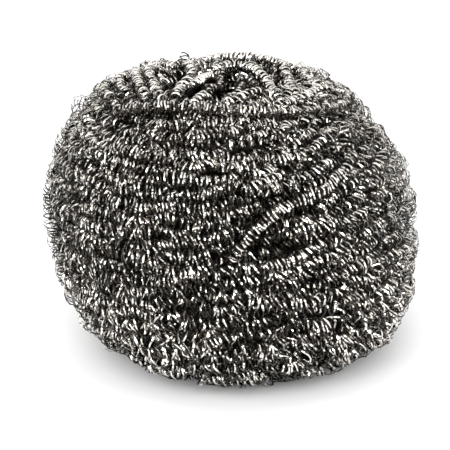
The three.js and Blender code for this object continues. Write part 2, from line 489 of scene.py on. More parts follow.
def winding_strand(first, last, wire, under, seed, rise=WINDING_RISE, turn_step=1.0, start_turns=0.0,
                   pitch_scale=1.0, wander=0.8 * MM, uneven=2.2 * MM, spots=(), flats=(), gloom=0.0):
    """One stretch of the winding, between two counts of turns."""
    way = (last - first) * MEAN_WAY_ROUND / turn_step
    count = int(way / ROUTE_STEP)
    turn = np.linspace(first, last, count)
    angle = FULL_TURN * turn / turn_step
    length = winding_length(turn + 0.5, angle % FULL_TURN, rise)
    along = np.linspace(0, way, count)
    free = 1 - CREST_STILLNESS * spot_share(CREST, angle, length)[0]
    length = length + wander * free * drift(seed, *SIDEWAYS_WAVES, along)
    depth_share = (DEPTH_MEAN + DEPTH_SWING * drift(seed + 1, *DEPTH_WAVES, along)).clip(0, DEPTH_MOST)
    depth = under + uneven * free * depth_share
    fullness = np.sin(math.pi * rising(length, outline.rim, outline.side))
    length = length - CLIMB * fullness * bump(turned_from(angle, CLIMB_ANGLE), 0, CLIMB_HALF_ANGLE)
    depth = depth + CROSSED_SINK * crossed(angle, length)
    for spot in spots:
        strength, below = spot_share(spot, angle, length)
        push, sink = spot[4:]
        length = length + push * MM * strength * np.tanh(below / PARTING_EDGE)
        depth = depth + sink * MM * strength
    # Painted shade: windings that lie deeper are painted darker.
    gloom = gloom + rising(depth - under, PAINTED_SHADE_START, PAINTED_SHADE_OVER)
    for spot in flats:
        depth = depth + spot[4] * MM * spot_share(spot, angle, length)[0]
    places, outward = bun_points(length, angle, depth)
    share = (length - outline.rim) / outline.side
    gloom = gloom + side_painted_shade(angle, share, outward)
    loose = rising(share, LOOSE_START, LOOSE_OVER) * falling(share, LOOSE_END, LOOSE_FADE)
    pitch = wire.coil_pitch + (wire.stretched_pitch - wire.coil_pitch) * loose
    pitch = pitch * pitch_scale * (1 + SPACING_SWING * drift(seed + 2, *SPACING_WAVES, along))
    slack = 1 + SIZE_SWING * drift(seed + 3, *SIZE_WAVES, along)
    unrest = (WINDING_UNREST + LOOSE_UNREST * loose) * free
    # The loops of the windings are painted darker underneath, as shade.
    return strand(places, outward, pitch, slack, start_turns, gloom, unrest, sag=1.0)


# The first windings lie still along the front of the crown: angle, length in mm, half widths of both.
CREST = (-75, 21, 55, 7)

# Places where the windings part or sink: angle, length along the outline in mm, half widths of both,
# push away from the middle in mm, sink in mm.
PARTINGS = (
    (-76, 58.4, 8, 2.8, 1.9, 2.4),
    (-85, 46.8, 12, 1.1, 0.8, 1.3),
    (72, 50, 7, 2.4, 1.6, 2),
    (170, 70, 7, 2.4, 1.6, 2),
    (-129, 61, 6, 2.2, 1.8, 3.2),
    (-93, 53.2, 6, 1.5, 0.8, 1.5),
    (-61, 40.8, 9, 1.6, 0.9, 1.6),
    (-51, 50.2, 7, 1.5, 0.9, 1.5),
    (-127, 65.8, 8, 1.5, 0.9, 1.4),
    (-142, 45.3, 7, 1.5, 0.9, 1.4),
    (-100, 33, 14, 1.3, 0.8, 1),
    (-30, 62, 10, 1.6, 0.9, 1.5),
    (-108, 72, 12, 1.8, 0.8, 1.4),
    (-65, 76, 14, 1.6, 0.8, 1.4),
    (15, 48, 10, 1.8, 1.2, 1.8),
    (48, 62, 12, 1.8, 1.2, 2),
    (95, 52, 12, 1.8, 1.3, 2.2),
    (140, 66, 10, 1.8, 1.2, 1.8),
    (172, 50, 9, 1.8, 1.2, 1.8),
    (-168, 72, 10, 1.8, 1, 1.6),
)
# Broad flats and swellings of the shoulders and the skirt: angle, length, half widths of both, sink in mm.
FLATS = (
    (180, 38, 34, 9, 1.8),
    (10, 40, 30, 9, 1.6),
    (-150, 34, 20, 7, 1.2),
    (100, 42, 40, 9, 1.2),
    (180, 88, 30, 8, 1.2),
    (25, 26, 30, 8, -1.6),
    (165, 26, 25, 8, -0.8),
)
# Where the windings go under the strands that are gathered on the crown, given as the partings are.
UNDER_CROWN = (
    (180, 16, 36, 8, 0, 3.5),
    (35, 16, 36, 6, 0, 3.5),
    (100, 14, 40, 4, 0, 3),
)


PITCH_SWING = 0.15
PITCH_WAVES = (5, 20)


def uneven_pitch(wire, seed, along):
    """The distances between the loops of a strand, at places along it in mm."""
    return wire.coil_pitch * (1 + PITCH_SWING * drift(seed, *PITCH_WAVES, along))


# Strands gathered into the hollow, in mm: where they start, how far they reach over the rim and how much
# further behind, and how deep they dive in the hollow, are tucked in at their ends and lie in front.
FOLD_COUNT = 26
FOLD_STARTS = (1.5, 7.0, 4.0)
FOLD_STEP = 1.2
FOLD_REACH = 1.0
BEHIND_REACH = 8.0
BEHIND_ANGLE = 82
BEHIND_HALF_ANGLE = 42
FOLD_DIVE = 2.5
FOLD_TUCK = 3.0
FRONT_SINK = 4.5
FOLD_CLEARANCE = 0.3
# The shares of a fold over which it dives and is tucked in, and how far it turns round the hollow.
DIVE_SHARE = 0.22
TUCK_SHARE = 0.28
FOLD_TWISTS = (-0.2, 0.5)


def crown_folds(wire):
    """Strands that come out of the hollow, over the rim, and turn under the first windings."""
    strands = []
    for number in range(FOLD_COUNT):
        angle = FULL_TURN * (number + 0.5) / FOLD_COUNT
        inner = FOLD_STARTS[number % len(FOLD_STARTS)] * MM
        behind = bump(turned_from(angle, BEHIND_ANGLE), 0, BEHIND_HALF_ANGLE)
        reach = (FOLD_REACH + BEHIND_REACH * behind) * MM
        length = np.arange(inner, outline.rim + reach, FOLD_STEP * MM)
        share = (length - length[0]) / (length[-1] - length[0])
        twist = FOLD_TWISTS[number % 2] * falling(length, outline.rim, outline.rim)
        sink = FOLD_DIVE * falling(share, DIVE_SHARE, DIVE_SHARE) ** 1.5
        sink = sink + FOLD_TUCK * rising(share, 1 - TUCK_SHARE, TUCK_SHARE) ** 1.5
        sink = sink + FRONT_SINK * (1 - np.clip(behind * 1.6, 0, 1))
        sink = sink + FOLD_CLEARANCE
        depth = wire.coil_radius + sink * MM
        slide = 1.0 * MM * drift(40 + number, 6 * MM, 25 * MM, length)
        places, outward = bun_points(length, angle + twist + slide / HOLLOW_RADIUS, depth)
        pitch = uneven_pitch(wire, 80 + number, length / MM)
        # Painted shade: deeper folds and those near the middle of the hollow are painted darker.
        gloom = (sink / 5).clip(0, 0.7) + 0.5 * falling(length, 12 * MM, 12 * MM)
        strands.append(strand(places, outward, pitch, 0.98, 97.0 * number, gloom, 0.4))
    return strands


# Strands laid over the crown, each as places across, back and down from the crown's top, in mm.
CROWN_STRANDS = (
    ((-15.8, -17.6, 3), (-16.2, -15, 0.4), (-16.9, -11, 0), (-18.3, -4, 0), (-19.6, 3, 0),
     (-20.4, 9, 0), (-20, 17, 1.5), (-18.5, 22, 4)),
    ((-18.8, -15, 3), (-19.8, -12, 0.4), (-21.2, -7.4, 0), (-22.6, 0, 0), (-23.6, 8, 0),
     (-23.4, 16, 1), (-22, 22, 4)),
    ((-23, -12.6, 3), (-24, -9.6, 0.4), (-25.6, -5.2, 0), (-27, 1.3, 0), (-27, 9, 0),
     (-25.8, 17, 1), (-24, 23, 4)),
    ((-27.2, -10.6, 3), (-28.4, -7.6, 0.4), (-30, -3.5, 0.2), (-31.2, 2.2, 0.2), (-30.6, 9.5, 0.6),
     (-28.6, 17, 3)),
    ((-13.4, -17.6, 3), (-13.2, -14.5, 0.4), (-12.2, -7, 0), (-10.4, 0.5, 0), (-9.6, 7, 0.2),
     (-10.8, 13, 0), (-13, 18, 1.5), (-15, 22.5, 4)),
    ((-6.6, 4, 5), (-5.4, 9, 1.2), (-2.4, 12.2, 0.2), (1.8, 12.4, 0), (5, 9.6, 0), (7.2, 4, 0),
     (8.4, -2.5, 0), (9.6, -9, 0), (11.4, -14.5, 0.3), (13.6, -18, 2.5)),
    ((-5, -18, 2.4), (-1.4, -16.4, 0.4), (2.2, -12, 0), (5.6, -8, 0.2), (8.4, -5.5, 2.4), (9.6, -4, 5)),
    ((11.4, 18.5, 2.5), (12.2, 13.5, -0.6), (12.8, 6, 0), (13.2, 0.8, 0), (13.8, -6, 0), (15.6, -11.5, 0.2),
     (18.4, -15, 2.4)),
    ((15.2, 20, 2.5), (16.4, 14.5, -0.7), (17.6, 8, 0), (18.8, 2.5, 0), (20.4, -4, 0), (22.4, -9, 0.8),
     (24.2, -12.4, 3)),
    ((10.6, -17.6, 2.4), (12.6, -15, 0.2), (16.4, -10, -0.2), (20.6, -2.6, -0.2), (24, 5, 0),
     (25.4, 12, 0.6), (24.6, 19, 3)),
    ((25, -10, 3), (26.2, -6, 0.4), (27.8, 0.5, 0), (28.8, 7.5, 0.2), (28.2, 15, 2.5)),
    ((-9.8, -18.4, 2.6), (-8.6, -14.6, 0.4), (-6.4, -10.4, 0.6), (-5.2, -7.6, 3), (-4.6, -5, 5)),
    ((-7.6, 23.5, 3.5), (-6, 18.5, 0), (-1, 17.4, -0.8), (4.4, 17.4, -1), (10.5, 16.4, -0.9),
     (16, 13.5, 0.2), (19, 9, 3)),
    ((-8, 24, 3.5), (-6.5, 21, 0.4), (-1.5, 19.6, -0.6), (4.4, 19.4, -0.8), (10.5, 18.2, -0.7),
     (16.5, 15.6, 0.4), (20, 12, 3)),
)
# Strands that lie in the hollow, lower than the ones over the crown.
HOLLOW_STRANDS = (
    ((-9.5, -12, 2.6), (-7.5, -6, 2.3), (-4.5, 0, 2.6), (-3, 6, 3), (-3.5, 12, 2), (-5, 16, 1.5)),
    ((-3, -13, 2.5), (-1, -7, 2.4), (1.5, -1, 2.8), (2.5, 5, 3), (1.5, 11, 2.2)),
    ((2, -12, 2.8), (4.5, -6, 3), (6, 0, 3.2), (5.5, 6, 3.2), (4, 11, 2.2)),
    ((-12, -8, 3.2), (-6, -5.5, 4), (0, -5, 4.2), (6, -7, 3.4)),
    ((-9, 9, 3.6), (-3, 7.5, 4.2), (3, 8.5, 4), (8, 10, 3.2)),
)
# A short length of the coil pulled tight, with its loops pressed together.
TIGHT_STRAND = ((-11.6, -5.4, 2.2), (-9.6, -3.4, 0.3), (-7.4, 0.4, 0), (-5.6, 4.6, 0.4), (-4.6, 7.6, 3))
# The first winding in front, which makes the crest.
CREST_STRANDS = (
    ((-156, 29, 3), (-144, 25.4, 0.5), (-133, 22.6, 0), (-119, 20.6, 0), (-101, 20, 0), (-81, 21.2, 0),
     (-64, 23, 0), (-42, 26, 0), (-24, 29, 0), (-6, 32, 0.3), (6, 34, 2.5)),
)


def smooth_path(points, step):
    """Points a step apart on a smooth curve through the given ones."""
    points = np.asarray(points, float)
    knots = np.concatenate([[0], np.cumsum(np.linalg.norm(np.diff(points[:, :2], axis=0), axis=1))])
    slopes = np.gradient(points, knots, axis=0)
    here = np.linspace(0, knots[-1], max(int(knots[-1] / step), 4))
    span = np.clip(np.searchsorted(knots, here, side="right") - 1, 0, len(knots) - 2)
    width = (knots[span + 1] - knots[span])[:, None]
    share = ((here - knots[span]) / width[:, 0])[:, None]
    rest = 1 - share
    start = (1 + 2 * share) * rest ** 2 * points[span] + share * rest ** 2 * width * slopes[span]
    end = share ** 2 * (3 - 2 * share) * points[span + 1] - share ** 2 * rest * width * slopes[span + 1]
    return start + end, here


CROWN_SLACK = 0.8
# Rounds in which the height of a place on the leaning crown is found.
HEIGHT_ROUNDS = 4
# Where strands start to span the hollow, and over how much they leave the outline.
SPAN_START = 2 * MM
SPAN_OVER = 4 * MM
SPAN_SINK = 0.2 * MM
# How much strands that run back are pulled out and how far their wire is turned, so that their faces show.
BACKWARD_STRETCH = 0.8


def crown_strand(points, wire, seed, number, tightness=0.9):
    """A strand over the crown, which it spans from side to side without following the hollow."""
    path, along = smooth_path(points, ROUTE_STEP / MM / 2)
    across, back, under = (path * MM).T
    back = back * BUN_WIDTH / BUN_DEPTH
    height = np.full(len(across), BUN_HEIGHT)
    waist = OUTLINE_STEPS * 2
    for _ in range(HEIGHT_ROUNDS):
        offset = across - CENTRE_SHIFT - lean_at(height)
        radius = np.hypot(offset, back)
        length = np.interp(radius, outline.radius[:waist], outline.length[:waist])
        height = np.interp(length, outline.length, outline.height)
    angle = np.arctan2(back, offset)
    places, outward = bun_points(length, angle, np.zeros(len(length)))
    inside = falling(length, outline.rim + SPAN_START, SPAN_OVER)
    outward = outward * (1 - inside[:, None]) + np.array([0, 0, 1]) * inside[:, None]
    places[:, 2] = places[:, 2] * (1 - inside) + (BUN_HEIGHT - SPAN_SINK) * inside
    places = places - outward * (wire.coil_radius * CROWN_SLACK + under)[:, None]
    steps = np.gradient(path[:, :2], axis=0)
    backward = steps[:, 1] / np.hypot(steps[:, 0], steps[:, 1])
    pitch = uneven_pitch(wire, seed, along) * tightness * (1 + BACKWARD_STRETCH * backward ** 2)
    # Painted shade: deeper strands and those further to the sides are painted darker.
    gloom = (under / (4 * MM)).clip(0, 0.9) + 0.2 * (across / (28 * MM)) ** 2
    roll = -BACKWARD_STRETCH * backward
    return strand(places, outward, pitch, CROWN_SLACK, 61.0 * number, gloom, 0.3, roll=roll)


# The strands on the floor of the hollow, in mm: how many in each layer, how far apart, the floor's radius and
# the place across of its middle, how deep the upper layer lies, and how much deeper the lower one.
FLOOR_COUNT = 8
FLOOR_SPACING = 2.9
FLOOR_RADIUS = 13
FLOOR_ACROSS = -4.5
FLOOR_SINK = 10
LAYER_SINK = 2.2
# Painted shade on the floor strands.
FLOOR_PAINTED_SHADE = 0.45


def floor_strands(wire):
    """Strands that cross the floor of the hollow, one layer over the other."""
    random = np.random.default_rng(17)
    strands = []
    for number in range(2 * FLOOR_COUNT):
        layer = number % 2
        turned = math.radians(35 + 80 * layer) + random.uniform(-0.25, 0.25)
        aside = (number // 2 - (FLOOR_COUNT - 1) / 2) * FLOOR_SPACING + random.uniform(-0.4, 0.4)
        half = math.sqrt(FLOOR_RADIUS ** 2 - aside ** 2)
        points = []
        for place in np.linspace(-half, half, 5):
            bent = aside + 1.2 * math.sin(place / 5 + number)
            across = place * math.cos(turned) - bent * math.sin(turned)
            back = place * math.sin(turned) + bent * math.cos(turned)
            sink = FLOOR_SINK + LAYER_SINK * layer - 0.02 * place ** 2 + random.uniform(-0.5, 0.5)
            points.append((across + FLOOR_ACROSS, back, sink))
        route = crown_strand(points, wire, 500 + number, 80 + number, tightness=1.1)
        route["gloom"] = np.full(len(route["turns"]), FLOOR_PAINTED_SHADE)
        strands.append(route)
    return strands


# Strands that lie across the windings, each as places: angle, length along the outline and sink in mm.
CROSSING_STRANDS = (
    ((-34, 39.5, 3.5), (-38, 41.2, 1), (-42.5, 42.6, 0.1), (-49, 44.6, 0), (-54, 46.3, 0), (-64, 47.9, 0),
     (-72.5, 49.6, 0), (-80, 53.3, 0), (-84, 56.2, 0), (-88, 59.4, 0.2), (-90.5, 62, 2.5)),
    ((22, 40, 3), (30, 42.5, 0.2), (42, 47.5, 0), (52, 54, 0), (58, 60, 0.4), (60, 64, 3)),
    ((118, 58, 3), (126, 56, 0.2), (140, 51, 0), (152, 45, 0), (160, 38.5, 0.3), (164, 35, 3)),
    ((-150, 76, 3), (-158, 72, 0.3), (-170, 66, 0), (-178, 59, 0.3), (-182, 55, 3)),
)


# Strands whose ends stick out between the windings: angle and length along the outline in mm.
END_ON_STRANDS = ((-78.5, 57.4), (72, 50.0), (170, 70.0))


def end_on_strand(angle, length, wire, number):
    """A strand that comes straight out of the bun and ends at its surface."""
    end = 1.2 * MM
    depth = np.linspace(9 * MM, end, 9)
    turned = np.full(len(depth), math.radians(angle))
    places, _ = bun_points(np.full(len(depth), length * MM), turned, depth)
    up = np.tile([0.0, 0.0, 1.0], (len(depth), 1))
    # Painted shade: the deeper part of the strand is painted darker.
    gloom = ((depth - end) / (5 * MM)).clip(0, 0.9)
    return strand(places, up, wire.coil_pitch * 0.8, 1.0, 71.0 * number, gloom, 0.2)


def crossing_strand(points, wire, seed, number, tightness=0.9, sag=0.6, gloom=0.0, slack=1.02):
    """A strand that lies across the windings on the side of the bun."""
    path, along = side_path(points, ROUTE_STEP / MM / 2)
    angle, length, under = path.T
    depth = wire.coil_radius + (under - 0.4) * MM
    places, outward = bun_points(length * MM, np.radians(angle), depth)
    pitch = uneven_pitch(wire, seed, along) * tightness
    # Painted shade: where the strand sinks it is painted darker.
    gloom = gloom + (under / PRESS_DEPTH).clip(0, 0.9)
    return strand(places, outward, pitch, slack, 43.0 * number, gloom, 0.25, sag)


def strand_mesh(name, strands):
    """The routes as chains of edges that carry what the coil needs at each point."""
    places = np.concatenate([route["places"] for route in strands])
    edges = []
    first = 0
    for route in strands:
        count = len(route["places"])
        chain = np.arange(first, first + count)
        edges.append(np.stack([chain[:-1], chain[1:]], axis=1))
        first += count
    mesh = bpy.data.meshes.new(name)
    mesh.from_pydata(places.tolist(), np.concatenate(edges).tolist(), [])
    for key in ("turns", "slack", "gloom", "unrest", "sag", "roll"):
        values = np.concatenate([route[key] for route in strands]).astype(np.float32)
        mesh.attributes.new(key, "FLOAT", "POINT").data.foreach_set("value", values)
    values = np.concatenate([route["outward"] for route in strands]).astype(np.float32)
    mesh.attributes.new("outward", "FLOAT_VECTOR", "POINT").data.foreach_set("vector", values.ravel())
    return mesh


COIL_SIZES = (
    "Coil Radius", "Step", "Wire Width", "Wire Thickness", "Radius Jitter", "Loop Tilt", "Tilt Jitter",
    "Lean Jitter", "Twist Jitter", "Crumple", "Seed")
COIL_INPUTS = (
    *((name, "NodeSocketFloat") for name in COIL_SIZES),
    ("Low", "NodeSocketVector"), ("High", "NodeSocketVector"), ("Finish", "NodeSocketMaterial"))
# Noises along the coil: how far each is shifted, so that they differ, and its waves per loop.
COIL_NOISES = {
    "phase": (0, 0.45), "size": (1000, 0.8), "tilt": (2000, 0.35), "twist": (3000, 1.1),
    "glint": (4000, 0.9), "lean": (5000, 0.2), "quick lean": (5500, 0.75), "height": (6000, 0.5),
    "quick glint": (7000, 4.4)}
# Painted light and shade on the coil, how bright a place is painted: the level, and the shares of facing
# out of the bun, of facing up, of hanging under the strand, of each of two noises, and of the painted shade.
PAINTED_LIGHT_LEVEL = 0.54
PAINTED_LIGHT_OUTWARD = 0.28
PAINTED_LIGHT_UPWARD = 0.26
PAINTED_LIGHT_HANGING = 0.34
PAINTED_GLINTS = 0.9
PAINTED_SHADE_WEIGHT = 0.75


def make_coil_tree():
    """Geometry Nodes that wind a flat wire round each route."""
    tree = bpy.data.node_groups.new("coil_along_route", "GeometryNodeTree")
    tree.interface.new_socket("Geometry", in_out="INPUT", socket_type="NodeSocketGeometry")
    for name, kind in COIL_INPUTS:
        tree.interface.new_socket(name, in_out="INPUT", socket_type=kind)
    tree.interface.new_socket("Geometry", in_out="OUTPUT", socket_type="NodeSocketGeometry")
    nodes = Nodes(tree)
    given = nodes.add("NodeGroupInput")

    def attribute(name, kind="FLOAT"):
        return nodes.add("GeometryNodeInputNamedAttribute", {"data_type": kind}, {"Name": name})

    turns = attribute("turns")

    def noise(name):
        shift, scale = COIL_NOISES[name]
        inputs = {"W": turns + shift + given.out("Seed"), "Scale": scale, "Detail": 1.0}
        return nodes.add("ShaderNodeTexNoise", {"noise_dimensions": "1D"}, inputs) - 0.5

    def store(geometry, name, kind, value):
        settings = {"data_type": kind, "domain": "POINT"}
        inputs = {"Geometry": geometry, "Name": name, "Value": value}
        return nodes.add("GeometryNodeStoreNamedAttribute", settings, inputs)

    route = nodes.add("GeometryNodeMeshToCurve", None, {"Mesh": given})
    fine = nodes.add("GeometryNodeResampleCurve", {"mode": "LENGTH"}, {
        "Curve": route, "Length": given.out("Step")})
    unrest = attribute("unrest")
    tangent = nodes.add("GeometryNodeInputTangent")
    outward = attribute("outward", "FLOAT_VECTOR")
    slope = outward.vector("DOT_PRODUCT", tangent, output="Value")
    up = outward.vector("SUBTRACT", tangent.scaled(slope)).vector("NORMALIZE")
    side = tangent.vector("CROSS_PRODUCT", up)

    phase = turns * FULL_TURN + noise("phase") * 2.2
    swing, lift = phase.math("SINE", phase), phase.math("COSINE", phase)
    radial = up.scaled(lift).vector("ADD", side.scaled(swing))
    jitter = given.out("Radius Jitter")
    size = attribute("slack") * given.out("Coil Radius") * (noise("size") * jitter + 1)
    tall = size * (1 + noise("height") * jitter)
    tilt = noise("tilt") * given.out("Tilt Jitter") + given.out("Loop Tilt")
    lean = (noise("lean") + 0.6 * noise("quick lean")) * given.out("Lean Jitter") * unrest
    along = (lift * tilt + swing * lean) * size
    offset = up.scaled(lift * size).vector("ADD", side.scaled(swing * tall))
    offset = offset.vector("ADD", tangent.scaled(along))
    place = nodes.add("GeometryNodeInputPosition").vector("ADD", offset)
    crumple = nodes.noise(place, 260.0, 1.0).out("Color")
    crumple = crumple.vector("SUBTRACT", (0.5, 0.5, 0.5)).scaled(given.out("Crumple"))
    place = place.vector("ADD", crumple)
    place = place.vector("MAXIMUM", given.out("Low")).vector("MINIMUM", given.out("High"))

    twist = noise("twist") * (unrest + 0.4) * given.out("Twist Jitter") + attribute("roll")
    facing = radial.vector("ADD", tangent.scaled(twist)).vector("NORMALIZE")
    above = nodes.add("ShaderNodeSeparateXYZ", None, {"Vector": radial}, "Z")
    # Painted light and shade: loops are brighter facing out and up, darker underneath and where they lie
    # deep.
    painted_light = PAINTED_LIGHT_LEVEL + PAINTED_LIGHT_OUTWARD * lift + PAINTED_LIGHT_UPWARD * above
    painted_light = painted_light - PAINTED_LIGHT_HANGING * swing * attribute("sag")
    painted_light = painted_light + PAINTED_GLINTS * noise("glint") + PAINTED_GLINTS * noise("quick glint")
    painted_light = painted_light - PAINTED_SHADE_WEIGHT * attribute("gloom")

    stored = store(store(fine, "facing", "FLOAT_VECTOR", facing), "painted_light", "FLOAT", painted_light)
    coiled = nodes.add("GeometryNodeSetPosition", None, {"Geometry": stored, "Position": place})
    faced = nodes.add(
        "GeometryNodeSetCurveNormal", {"mode": "FREE"},
        {"Curve": coiled, "Normal": attribute("facing", "FLOAT_VECTOR")})

    corner = nodes.add("GeometryNodeCurvePrimitiveCircle", None, {"Resolution": WIRE_SIDES, "Radius": 1.0})
    shape = nodes.add("ShaderNodeCombineXYZ", None, {
        "X": given.out("Wire Thickness") * (-1 / 1.5),
        "Y": given.out("Wire Width") * (-1 / math.sqrt(3)),
        "Z": 1.0})
    section = nodes.add("GeometryNodeTransform", None, {"Geometry": corner, "Scale": shape})
    wire = nodes.add("GeometryNodeCurveToMesh", None, {
        "Curve": faced, "Profile Curve": section, "Fill Caps": True})

    ends = nodes.add("GeometryNodeInputMeshEdgeVertices")
    apart = ends - ends.out("Vertex Index 2")
    apart = apart.math("ABSOLUTE", apart)
    along = nodes.add("FunctionNodeCompare", {"operation": "EQUAL"}, {"A": apart, "B": float(WIRE_SIDES)})
    smooth = nodes.add("GeometryNodeSetShadeSmooth", {"domain": "FACE"}, {
        "Geometry": wire, "Shade Smooth": True})
    edged = nodes.add("GeometryNodeSetShadeSmooth", {"domain": "EDGE"}, {
        "Geometry": smooth, "Selection": along, "Shade Smooth": False})
    real = nodes.add("GeometryNodeRealizeInstances", None, {"Geometry": edged})
    dressed = nodes.add("GeometryNodeSetMaterial", None, {
        "Geometry": real, "Material": given.out("Finish")})
    nodes.add("NodeGroupOutput", None, {"Geometry": dressed})
    return tree


def set_inputs(modifier, values):
    """Sets a Geometry Nodes modifier's inputs by their names in its tree."""
    for item in modifier.node_group.interface.items_tree:
        if item.item_type == "SOCKET" and item.in_out == "INPUT" and item.name in values:
            modifier[item.identifier] = values[item.name]


def add_object(name, data):
    made = bpy.data.objects.new(name, data)
    bpy.context.scene.collection.objects.link(made)
    return made


def add_piece(name, mesh):
    """Puts a finished mesh in the scene as a piece that stands for the wound strand."""
    if not mesh.polygons:
        raise RuntimeError(name + " has no faces")
    map_by_face(mesh)
    piece = add_object(name, mesh)
    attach(piece, BODY)
    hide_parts(NODE)


def coil_piece(name, strands, wire, changes=None, finish="drawn_steel_wire_painted_light"):
    """Winds the wire along the routes and makes the result a plain mesh."""
    guide = add_object(name + "_route", strand_mesh(name + "_route", strands))
    modifier = guide.modifiers.new("coil", "NODES")
    modifier.node_group = bpy.data.node_groups.get("coil_along_route") or make_coil_tree()
    set_inputs(modifier, {**coil_values(wire), "Finish": finish_of(wire, finish), **(changes or {})})
    graph = bpy.context.evaluated_depsgraph_get()
    mesh = bpy.data.meshes.new_from_object(guide.evaluated_get(graph))
    bpy.data.objects.remove(guide)
    mesh.name = name
    for key in ("outward", "facing", "slack", "gloom", "unrest", "sag", "roll"):
        if key in mesh.attributes:
            mesh.attributes.remove(mesh.attributes[key])
    add_piece(name, mesh)


def map_by_face(mesh):
    """Gives each face its own small cell of a map, in the order in which the wire was drawn."""
    count = len(mesh.polygons)
    starts = np.empty(count, np.int32)
    totals = np.empty(count, np.int32)
    mesh.polygons.foreach_get("loop_start", starts)
    mesh.polygons.foreach_get("loop_total", totals)
    cells = math.ceil(math.sqrt(count))
    face = np.repeat(np.arange(count), totals)
    corner = np.arange(len(face)) - np.repeat(starts, totals)
    right = (corner == 1) | (corner == 2)
    high = corner >= 2
    u = (face % cells + 0.1 + 0.8 * right) / cells
    v = (face // cells + 0.1 + 0.8 * high) / cells
    layer = mesh.uv_layers.new(name="OFBake")
    layer.uv.foreach_set("vector", np.stack([u, v], axis=1).astype(np.float32).ravel())


# Painted light from which the wire is dark and bright, and how strongly fine noise breaks up the painted
# light.
PAINTED_DARK_LEVEL = 0.6
PAINTED_BRIGHT_LEVEL = 0.93
PAINTED_GLINT_NOISE = 3.6


def wire_material(wire, name, glint_noise_share):
    """Drawn stainless wire: bright, a little warm, duller in places, its glints broken up by small dents."""
    material = bpy.data.materials.new(name)
    nodes = fresh_nodes(material)
    place = nodes.add("ShaderNodeTexCoord", None, None, "Object")
    dull = nodes.share(nodes.noise(place, 420, 3), 0.45, 0.75)
    bright = nodes.mix(dull, (*wire.steel, 1), (*wire.tarnish, 1))
    height = nodes.add("ShaderNodeSeparateXYZ", None, {"Vector": place}, "Z") / BUN_HEIGHT
    broken = nodes.ramp(height, ((0.0, 0.3), (0.4, 0.3), (0.55, glint_noise_share), (1.0, glint_noise_share)))
    # Painted light and shade from the coil, broken up by fine noise, sets the colour from painted shade to
    # steel.
    painted_light = nodes.add("ShaderNodeAttribute", {"attribute_name": "painted_light"}, None, "Fac")
    painted_light = painted_light + PAINTED_GLINT_NOISE * broken * (nodes.noise(place, 1150, 1) - 0.505)
    lit = nodes.share(painted_light, PAINTED_DARK_LEVEL, PAINTED_BRIGHT_LEVEL, "SMOOTHSTEP")
    roughness = 0.1 + 0.14 * nodes.noise(place, 900, 2) + 0.1 * dull
    dents = nodes.add("ShaderNodeBump", None, {
        "Height": nodes.noise(place, 1300, 1), "Strength": 0.5, "Distance": 0.12 * MM})
    shader = nodes.add("ShaderNodeBsdfPrincipled", None, {
        "Base Color": nodes.mix(lit, (*wire.painted_shade_colour, 1), bright), "Metallic": 1.0,
        "Roughness": roughness, "Normal": dents})
    nodes.add("ShaderNodeOutputMaterial", None, {"Surface": shader})
    return material


def deep_shade_material():
    """The same wire deep in the bun, painted nearly black as shade, since hardly any light gets there."""
    material = bpy.data.materials.new("steel_wire_painted_deep_shade")
    nodes = fresh_nodes(material)
    grain = nodes.noise(nodes.add("ShaderNodeTexCoord", None, None, "Object"), 700.0, 2.0)
    colour = nodes.mix(nodes.share(grain, 0.5, 0.75), (0.01, 0.009, 0.008, 1), (0.08, 0.075, 0.07, 1))
    dents = nodes.add("ShaderNodeBump", None, {"Height": grain, "Strength": 0.8, "Distance": 0.5 * MM})
    shader = nodes.add("ShaderNodeBsdfPrincipled", None, {
        "Base Color": colour, "Metallic": 1.0, "Roughness": 0.4, "Normal": dents})
    nodes.add("ShaderNodeOutputMaterial", None, {"Surface": shader})
    return material


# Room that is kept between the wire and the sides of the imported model's box.
BOX_ROOM = 0.02 * MM


def coil_values(wire):
    """What the coil's nodes are given, apart from the finish."""
    low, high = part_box(NODE)
    room = Vector((1, 1, 1)) * (wire.wire_width / 2 + BOX_ROOM)
    return {
        "Low": low + room,
        "High": high - room,
        "Coil Radius": wire.coil_radius,
        "Step": wire.coil_pitch / wire.steps_per_loop,
        "Wire Width": wire.wire_width,
        "Wire Thickness": wire.wire_thickness,
        "Radius Jitter": 0.6,
        "Loop Tilt": 0.25,
        "Tilt Jitter": 1.2,
        "Lean Jitter": 3.2,
        "Twist Jitter": 3.8,
        "Crumple": 2.2 * MM,
        "Seed": 0.0,
    }


# The wire's finishes, and how far a fine noise breaks up the painted glints on the bun's upper half.
FINISHES = {"drawn_steel_wire_painted_light": 0.3, "crumpled_steel_wire_painted_light": 1.0}


def finish_of(wire, name):
    return bpy.data.materials.get(name) or wire_material(wire, name, FINISHES[name])


# The body's pieces from the rim down: four like stretches of the side, and the base.
BODY_PIECES = ("rim_windings", "shoulder_windings", "waist_windings", "skirt_windings", "base_windings")


class SCOURER_OT_body_windings(bpy.types.Operator):
    """Wind the strand round the bun from the rim to the middle of the base"""

    bl_idname = "scourer.body_windings"
    bl_label = "Body windings"

    def execute(self, context):
        wire = context.scene.scourer_wire
        first = HOLLOW_TURNS - 0.75
        side_end = HOLLOW_TURNS + outline.side_turns
        base_end = side_end + BASE_RADIUS / STRAND_STEP - 0.9
        share = (side_end - first) / (len(BODY_PIECES) - 1)
        ends = [first + number * share for number in range(len(BODY_PIECES))] + [base_end]
        under = wire.coil_radius - 0.35 * MM
        for number, name in enumerate(BODY_PIECES):
            route = winding_strand(
                ends[number], ends[number + 1], wire, under, 7 + 10 * number, start_turns=5000.0 * number,
                spots=PARTINGS + UNDER_CROWN, flats=FLATS)
            coil_piece(name, [route], wire, finish="crumpled_steel_wire_painted_light")
        return {"FINISHED"}


